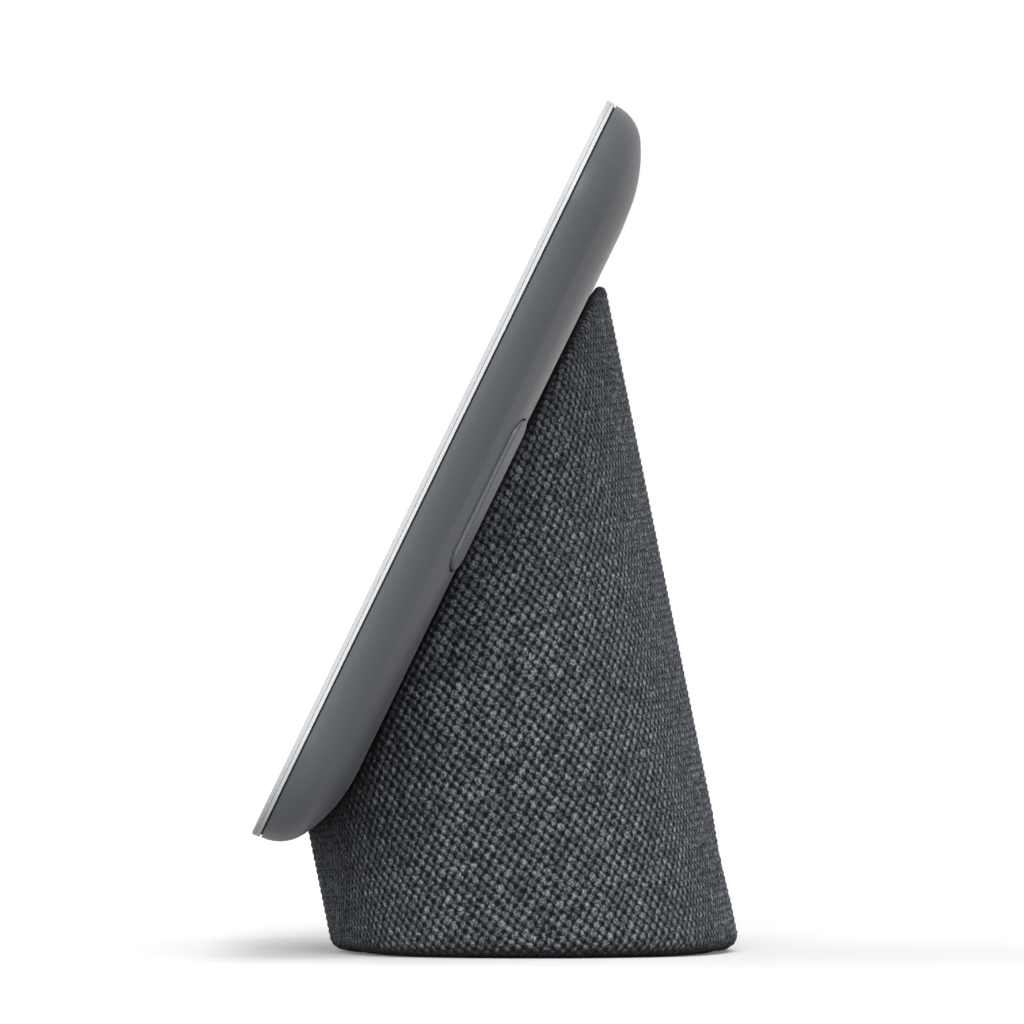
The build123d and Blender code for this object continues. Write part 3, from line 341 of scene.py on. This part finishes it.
def board(name, colour):
    """Circuit board: lacquer over fine copper tracks."""
    material, tree, shader = start_material(name, Coat_Weight=0.4, Coat_Roughness=0.2)
    place = place_of(tree)
    waves = {"Vector": place, "Scale": track_wave_scale, "Distortion": 6.0, "Detail": 1.0}
    tracks = node(tree, "ShaderNodeTexWave", waves).outputs["Fac"]
    share = spread(tree, tracks, 0.0, 1.0, start=0.45, end=0.55)
    bright = tuple(min(1.0, 1.7 * level) for level in colour)
    tree.links.new(mix_colours(tree, share, colour, bright), shader.inputs["Base Color"])
    tree.links.new(spread(tree, noise(tree, place, 1.0), 0.35, 0.5), shader.inputs["Roughness"])
    bump(tree, shader, share, 0.03)
    return material


def fibrous(name, colour):
    """Pressed paper of the speaker cone."""
    material, tree, shader = start_material(name)
    hairs = noise(tree, place_of(tree), paper_fibre_size, detail=8.0)
    factor = spread(tree, hairs, 0.6, 1.5)
    tree.links.new(vector_maths(tree, "MULTIPLY", colour, factor), shader.inputs["Base Color"])
    tree.links.new(spread(tree, hairs, 0.75, 0.95), shader.inputs["Roughness"])
    bump(tree, shader, hairs, 0.06)
    return material


def glass(name):
    """Cover glass: clear through its faces, frosted where its edge is ground."""
    material, tree, shader = start_material(name, IOR=1.3)
    face = node(tree, "ShaderNodeNewGeometry").outputs["True Normal"]
    facing = node(tree, "ShaderNodeVectorMath", {0: face, 1: tuple(panel_back)}, operation="DOT_PRODUCT")
    flat = maths(tree, "ABSOLUTE", facing.outputs["Value"])
    edge = spread(tree, flat, 1.0, 0.0, start=0.75, end=0.95)
    frost = spread(tree, noise(tree, place_of(tree), frost_size), 0.97, 1.03)
    tint = mix_colours(tree, edge, clear_tint, ground_edge_tint)
    tree.links.new(vector_maths(tree, "MULTIPLY", tint, frost), shader.inputs["Base Color"])
    tree.links.new(spread(tree, edge, 1.0, 0.12, start=0.0, end=1.0), shader.inputs["Transmission Weight"])
    tree.links.new(spread(tree, edge, 0.02, 0.4, start=0.0, end=1.0), shader.inputs["Roughness"])
    tree.links.new(face, shader.inputs["Normal"])
    return material


def knit(name):
    """Melange yarn: each bead has its own tone, with fibres across it and painted shade in the pits between beads.
    """
    material, tree, shader = start_material(name, Roughness=0.9, Sheen_Weight=0.04, Sheen_Roughness=0.5,
                                            Specular_IOR_Level=0.2)
    half = (0.5, 0.5, 0.5)
    place = place_of(tree)

    # Place in the lattice of beads, with each bead a little astray
    spot = node(tree, "ShaderNodeAttribute", attribute_name="knit_place").outputs["Vector"]
    sway = noise_texture(tree, place, stray_size, detail=1.0).outputs["Color"]
    loose = vector_maths(tree, "MULTIPLY_ADD", vector_maths(tree, "SUBTRACT", sway, half), bead_stray, spot)
    bead, row, _ = node(tree, "ShaderNodeSeparateXYZ", {0: loose}).outputs
    one_way = maths(tree, "MULTIPLY_ADD", row, 0.5, bead)
    other_way = maths(tree, "MULTIPLY_ADD", row, -0.5, bead)
    waves = [maths(tree, "COSINE", maths(tree, "MULTIPLY", way, 2 * pi)) for way in (one_way, other_way)]
    relief = maths(tree, "MULTIPLY", maths(tree, "ADD", *waves), 0.5)
    seam = maths(tree, "MINIMUM", *waves)

    # Tone of each bead and of its fibres
    lattice = node(tree, "ShaderNodeCombineXYZ", {0: one_way, 1: other_way}).outputs[0]
    number = vector_maths(tree, "SNAP", vector_maths(tree, "ADD", lattice, half), (1, 1, 1))
    dice = node(tree, "ShaderNodeTexWhiteNoise", {"Vector": number}, noise_dimensions="2D")
    fibres = noise(tree, place, fibre_size, detail=1.0)
    tone = maths(tree, "MULTIPLY", spread(tree, dice.outputs["Value"], 0.70, 1.35, start=0.0, end=1.0),
                 spread(tree, fibres, 0.42, 1.64, start=0.42, end=0.58))

    # Painted shade: the colour is darker in the pits and seams between the beads, and in the nooks at the panel
    # and the floor; soft patches of tone
    patches = noise(tree, place, patch_size, detail=1.0)
    nook_shade = node(tree, "ShaderNodeAmbientOcclusion", {"Distance": nook_size / 1000}, samples=8)
    # depth is a factor of painted shade, darkest in the pits and seams between the beads
    depth = spread(tree, relief, 0.03, 1.0, start=-0.76, end=0.35)
    depth = maths(tree, "MULTIPLY", depth, spread(tree, seam, 0.45, 1.0, start=-1.0, end=-0.40))
    depth = maths(tree, "MULTIPLY", depth, spread(tree, patches, 0.86, 1.14, start=0.38, end=0.62))
    # Painted shade: the knit's colour is darkened by ambient occlusion in the nooks at the panel and the floor
    shade = spread(tree, nook_shade.outputs["AO"], 0.15, 1.0, start=0.25, end=0.85)
    depth = maths(tree, "MULTIPLY", depth, shade)
    colour = vector_maths(tree, "MULTIPLY", knit_colour, maths(tree, "MULTIPLY", tone, depth))
    tree.links.new(colour, shader.inputs["Base Color"])
    bump(tree, shader, maths(tree, "MULTIPLY_ADD", relief, bead_bump_share, fibres), knit_bump)
    return material


# Fabric sleeve: a sheet with the knit's beads in relief, folded in at both ends
def skin_gap(point):
    """Distance from a point to the housing's skin, and the direction away from it."""
    up = (point - panel_foot) @ panel_up
    depth = (point - panel_foot) @ panel_back
    if up >= back_inset:
        return depth - back_depth, panel_back
    across = (back_inset - up, depth - (back_depth - edge_wide_radius))
    radius = edge_wide_radius
    if atan2(across[1], across[0]) < edge_knee:
        across = (rim_inset + edge_tight_radius - up, depth - rim_depth)
        radius = edge_tight_radius
    reach = hypot(*across)
    return reach - radius, (across[1] * panel_back - across[0] * panel_up) / reach


def floor_gap(point):
    """Distance from a point to the level where the sleeve turns under, and the direction away from it."""
    return point[2] - fabric_lift, floor_up


def outline_spot(share):
    """Middle, radius and direction of the oval's arc at a share of the way round it."""
    arcs = [((end_middle, 0.0), base_end_radius, -end_turn, end_turn),
            ((0.0, -side_drop), side_radius, end_turn, pi - end_turn),
            ((-end_middle, 0.0), base_end_radius, pi - end_turn, pi + end_turn),
            ((0.0, side_drop), side_radius, pi + end_turn, 2 * pi - end_turn)]
    lengths = [radius * (stop - start) for _, radius, start, stop in arcs]
    left = share * sum(lengths)
    for (middle, radius, start, stop), length in zip(arcs, lengths):
        if left <= length:
            return middle, radius, start + left / radius
        left -= length
    return middle, radius, stop


def find_fold(wall, out, radius, gap_of, rest_gap, clear, past):
    """Height on a wall where a fold of that radius starts, and the turn at which it ends.
    It lies between a height that is clear of what the sleeve folds against and one that is past it."""
    for _ in range(search_halvings):
        height = (clear + past) / 2
        gap, away = gap_of(wall + height * base_up - radius * out)
        flat = hypot(away @ out, away @ base_up)
        if gap > rest_gap + radius * flat:
            clear = height
        else:
            past = height
    return height, atan2(-(away @ base_up), -(away @ out))


def column_points(share):
    """Points of one column at a share of the way round, as hem, wall and fold, and the wall's first step.
    A point is its place, outward direction, length along the column, and share of the relief."""
    middle, radius, turn = outline_spot(share)
    out = cos(turn) * base_x + sin(turn) * base_back
    wall = base_origin + middle[0] * base_x + middle[1] * base_back + radius * out
    top, top_turn = find_fold(wall, out, fabric_fold_radius, skin_gap, fabric_joint_gap, 0.0, highest_wall)
    foot, foot_turn = find_fold(wall, out, base_edge_radius, floor_gap, 0.0,
                                foot_search_top, foot_search_bottom)

    def folded(height, fold_radius, angle, beyond=0.0, relief_share=1.0):
        away = cos(angle) * out + sin(angle) * base_up
        ahead = -sin(angle) * out + cos(angle) * base_up
        spot = wall + height * base_up + fold_radius * (away - out) + beyond * ahead
        return spot, away, height + fold_radius * angle + beyond, relief_share

    hem_run = fabric_hem - base_edge_radius
    hem = [folded(foot, base_edge_radius, foot_turn, -hem_run * step / hem_steps, hem_relief_share)
           for step in range(hem_steps, 0, -1)]
    hem += [folded(foot, base_edge_radius, foot_turn * (1 - step / foot_steps))
            for step in range(foot_steps)]

    step_height = row_pitch / steps_per_row
    first = int(np.ceil(foot / step_height + row_margin))
    last = int(np.floor(top / step_height - row_margin))
    heights = [foot, *(step * step_height for step in range(first, last + 1)), top]
    straight = [(wall + height * base_up, out, height, 1.0) for height in heights]

    fold = [folded(top, fabric_fold_radius, top_turn * step / fold_steps, 0.0, 1 - step / fold_steps)
            for step in range(1, fold_steps + 1)]
    tuck, away, length, _ = folded(top, fabric_fold_radius, top_turn, fabric_tuck)
    gap, off_skin = skin_gap(tuck)
    fold.append((tuck - (gap + tuck_press) * off_skin, away, length, 0.0))
    return hem, straight, fold, first - 1


def cut_inlet(mesh):
    """Round hole with a turned-in rim where the power inlet comes through the back of the sleeve."""
    work = bmesh.new()
    work.from_mesh(mesh)
    middle = Vector((base_origin + inlet_height * base_up) / 1000)
    along_up, along_back = Vector(base_up), Vector(base_back)
    radius = inlet_hole_radius / 1000

    def near_axis(vertex, limit):
        place = vertex.co - middle
        return place.dot(along_back) > 0 and hypot(place.x, place.dot(along_up)) < limit

    inside = [face for face in work.faces if any(near_axis(vertex, radius) for vertex in face.verts)]
    bmesh.ops.delete(work, geom=inside, context="FACES")
    limit = inlet_search_share * radius
    rim = [edge for edge in work.edges
           if edge.is_boundary and all(near_axis(vertex, limit) for vertex in edge.verts)]
    for vertex in {vertex for edge in rim for vertex in edge.verts}:
        place = vertex.co - middle
        depth = place.dot(along_back) * along_back
        vertex.co = middle + depth + (place - depth).normalized() * radius
    turned = bmesh.ops.extrude_edge_only(work, edges=rim)["geom"]
    inward = -inlet_rim_depth / 1000 * along_back
    ends = [item for item in turned if isinstance(item, bmesh.types.BMVert)]
    bmesh.ops.translate(work, vec=inward, verts=ends)
    work.to_mesh(mesh)
    work.free()


def build_sleeve():
    """The sleeve as one sheet: columns of points from hem to tuck, joined to their neighbours by faces."""
    column_count = beads_round * columns_per_bead
    points, rounds, columns = [], [], []
    for number in range(column_count):
        hem, straight, fold, first_step = column_points(number / column_count)
        start = len(points)
        points += hem + straight + fold
        rounds += [number / columns_per_bead] * (len(points) - start)
        indices = list(range(start, len(points)))
        wall_end = len(hem) + len(straight)
        columns.append(Column(hem=indices[:len(hem)], wall=indices[len(hem):wall_end],
                              fold=indices[wall_end:], first_step=first_step))

    spots, outs, lengths, relief_shares = (np.array(values) for values in zip(*points))
    rounds = np.array(rounds)
    rows = lengths / row_pitch
    relief = np.cos(2 * pi * rounds) * np.cos(pi * rows)
    lift = (bead_relief * (relief - 1) / 2 + bead_rise) * relief_shares
    spots = spots + lift[:, None] * outs

    faces = []
    knit_places = []

    def add_face(*corners):
        loop = [corner for place, corner in enumerate(corners) if corner != corners[place - 1]]
        if len(loop) > 2:
            faces.append(loop)
            turns = rounds[loop]
            turns = np.where(turns.max() - turns > beads_round / 2, turns + beads_round, turns)
            knit_places.extend((turn, rows[corner], 0.0) for turn, corner in zip(turns, loop))

    def strip_side(column, low, high):
        """The column's points from hem to tuck, its wall drawn out to the steps that both columns reach."""
        places = (min(max(step - column.first_step, 0), len(column.wall) - 1) for step in range(low, high))
        return column.hem + [column.wall[place] for place in places] + column.fold

    for number in range(column_count):
        pair = (columns[number], columns[(number + 1) % column_count])
        low = min(column.first_step for column in pair)
        high = max(column.first_step + len(column.wall) for column in pair)
        here, there = (strip_side(column, low, high) for column in pair)
        for corners in zip(here[:-1], there[:-1], there[1:], here[1:]):
            add_face(*corners)

    mesh = bpy.data.meshes.new("fabric_knit")
    mesh.from_pydata((spots / 1000).tolist(), [], faces)
    places = mesh.attributes.new("knit_place", "FLOAT_VECTOR", "CORNER")
    places.data.foreach_set("vector", np.array(knit_places, dtype=np.float32).ravel())
    cut_inlet(mesh)
    mesh.polygons.foreach_set("use_smooth", [True] * len(mesh.polygons))
    sleeve = bpy.data.objects.new("fabric_knit", mesh)
    scene.collection.objects.link(sleeve)
    return sleeve


# Cover glass: the part's own pane, a hair thinner, so that its back is clear of what it lies on
def build_pane():
    mesh = nodes["cover_glass"].data.copy()
    mesh.name = "glass_pane"
    for vertex in mesh.vertices:
        depth = (np.array(vertex.co) * 1000 - panel_foot) @ panel_back
        if depth > glass_thickness - pane_clearance:
            vertex.co -= Vector(panel_back) * pane_clearance / 1000
    pane = bpy.data.objects.new("glass_pane", mesh)
    scene.collection.objects.link(pane)
    return pane


# Rings of the speaker: each node's ring cut into sectors with closed ends
def ring_sector(name, middle, axis, ahead):
    """One sector of a node's ring, about the direction ahead, with closed ends."""
    work = bmesh.new()
    work.from_mesh(nodes[name].data)
    bmesh.ops.remove_doubles(work, verts=work.verts, dist=weld_distance / 1000)
    for side in (-1, 1):
        outward = Quaternion(axis, side * (pi / 2 + pi / ring_sectors)) @ ahead
        whole = [*work.verts, *work.edges, *work.faces]
        bmesh.ops.bisect_plane(work, geom=whole, plane_co=middle, plane_no=outward, clear_outer=True)
    bmesh.ops.holes_fill(work, edges=[edge for edge in work.edges if edge.is_boundary])
    mesh = bpy.data.meshes.new(name)
    work.to_mesh(mesh)
    work.free()
    return mesh


def build_flexing_ring(name, material):
    """Sectors in place of a node's ring."""
    axis = Vector(next(joint["axis"] for joint in frame["joints"] if joint["name"] == "cone_travel"))
    low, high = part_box(name)
    middle = (low + high) / 2
    across = axis.orthogonal().normalized()
    for number in range(ring_sectors):
        ahead = Quaternion(axis, 2 * pi * number / ring_sectors) @ across
        mesh = ring_sector(name, middle, axis, ahead)
        mesh.materials.append(material)
        piece = bpy.data.objects.new(f"{name}_{number + 1}", mesh)
        scene.collection.objects.link(piece)
        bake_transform(piece)
        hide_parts(name)


# The scene
add_camera()
set_world()
add_floor()
scene.view_settings.view_transform = "Standard"
add_light("overhead", side=60, height=68, spread_angle=50, level=0.24)
add_light("side_fill", side=2, height=22, spread_angle=36, level=1.0)

sleeve = build_sleeve()
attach(sleeve, "display")
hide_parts("fabric_sleeve")
sleeve.data.materials.append(knit("knit_charcoal"))

pane = build_pane()
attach(pane, "display")
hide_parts("cover_glass")
pane.data.materials.clear()
pane.data.materials.append(glass("clear_glass"))

# Materials of the record's slots: name, colour and roughness, and what departs from the usual grain
made = {
    "white_bezel": moulded("white_bezel", (0.60, 0.61, 0.625), 0.45, vary=0.02),
    "lens_tint": moulded("lens_tint", (0.03, 0.03, 0.035), 0.12, vary=0.05),
    "screen_black": moulded("screen_black", (0.012, 0.012, 0.014), 0.12, grain=6.0, depth=0.0, vary=0.05,
                            Specular_IOR_Level=0.1),
    "screen_module": moulded("screen_module", (0.02, 0.02, 0.022), 0.3, vary=0.05),
    "foam_black": moulded("foam_black", (0.015, 0.015, 0.016), 0.85, grain=0.5, depth=0.04),
    "flex_amber": moulded("flex_amber", (0.45, 0.22, 0.05), 0.35),
    "chassis_metal": metal("chassis_metal", (0.72, 0.73, 0.75), 0.35),
    "screw_steel": metal("screw_steel", (0.5, 0.5, 0.52), 0.35, run=(4, 4, 4)),
    "pad_grey": moulded("pad_grey", (0.42, 0.47, 0.52), 0.8),
    "board_green": board("board_green", (0.03, 0.14, 0.08)),
    "can_steel": metal("can_steel", (0.7, 0.71, 0.72), 0.3),
    "chip_black": moulded("chip_black", (0.03, 0.03, 0.033), 0.6),
    "connector_ivory": moulded("connector_ivory", (0.7, 0.66, 0.56), 0.5),
    "antenna_copper": metal("antenna_copper", (0.75, 0.42, 0.25), 0.3),
    "cable_black": moulded("cable_black", (0.025, 0.025, 0.026), 0.5),
    "housing_grey": moulded("housing_grey", (0.084, 0.091, 0.102), 0.40, grain=0.30, depth=0.010, vary=0.03,
                            Specular_IOR_Level=0.35),
    "marker_orange": moulded("marker_orange", (0.80, 0.22, 0.04), 0.55),
    "shell_plastic": moulded("shell_plastic", (0.035, 0.036, 0.039), 0.6),
    "foot_rubber": moulded("foot_rubber", (0.07, 0.072, 0.078), 0.85, grain=0.6, depth=0.03),
    "weight_steel": moulded("weight_steel", (0.10, 0.10, 0.105), 0.5, grain=0.8, depth=0.03),
    "speaker_plastic": moulded("speaker_plastic", (0.03, 0.03, 0.032), 0.55),
    "motor_steel": metal("motor_steel", (0.45, 0.46, 0.48), 0.4),
    "magnet_nickel": metal("magnet_nickel", (0.66, 0.64, 0.6), 0.2),
    "coil_copper": metal("coil_copper", (0.80, 0.42, 0.22), 0.35, run=(12, 1, 12)),
    "cone_paper": fibrous("cone_paper", (0.05, 0.05, 0.052)),
    "pin_brass": metal("pin_brass", (0.78, 0.62, 0.32), 0.2),
}
# The slide switch shows through the slider's slot, where its black case covers its board
dark_inside = {"mic_switch": made["chip_black"]}
for piece in frame["record"]["subparts"]:
    if piece["material_slot"] in made:
        slots = nodes[piece["node"]].data.materials
        slots.clear()
        slots.append(dark_inside.get(piece["node"], made[piece["material_slot"]]))

build_flexing_ring("speaker_surround", made["foam_black"])
build_flexing_ring("speaker_spider", made["flex_amber"])
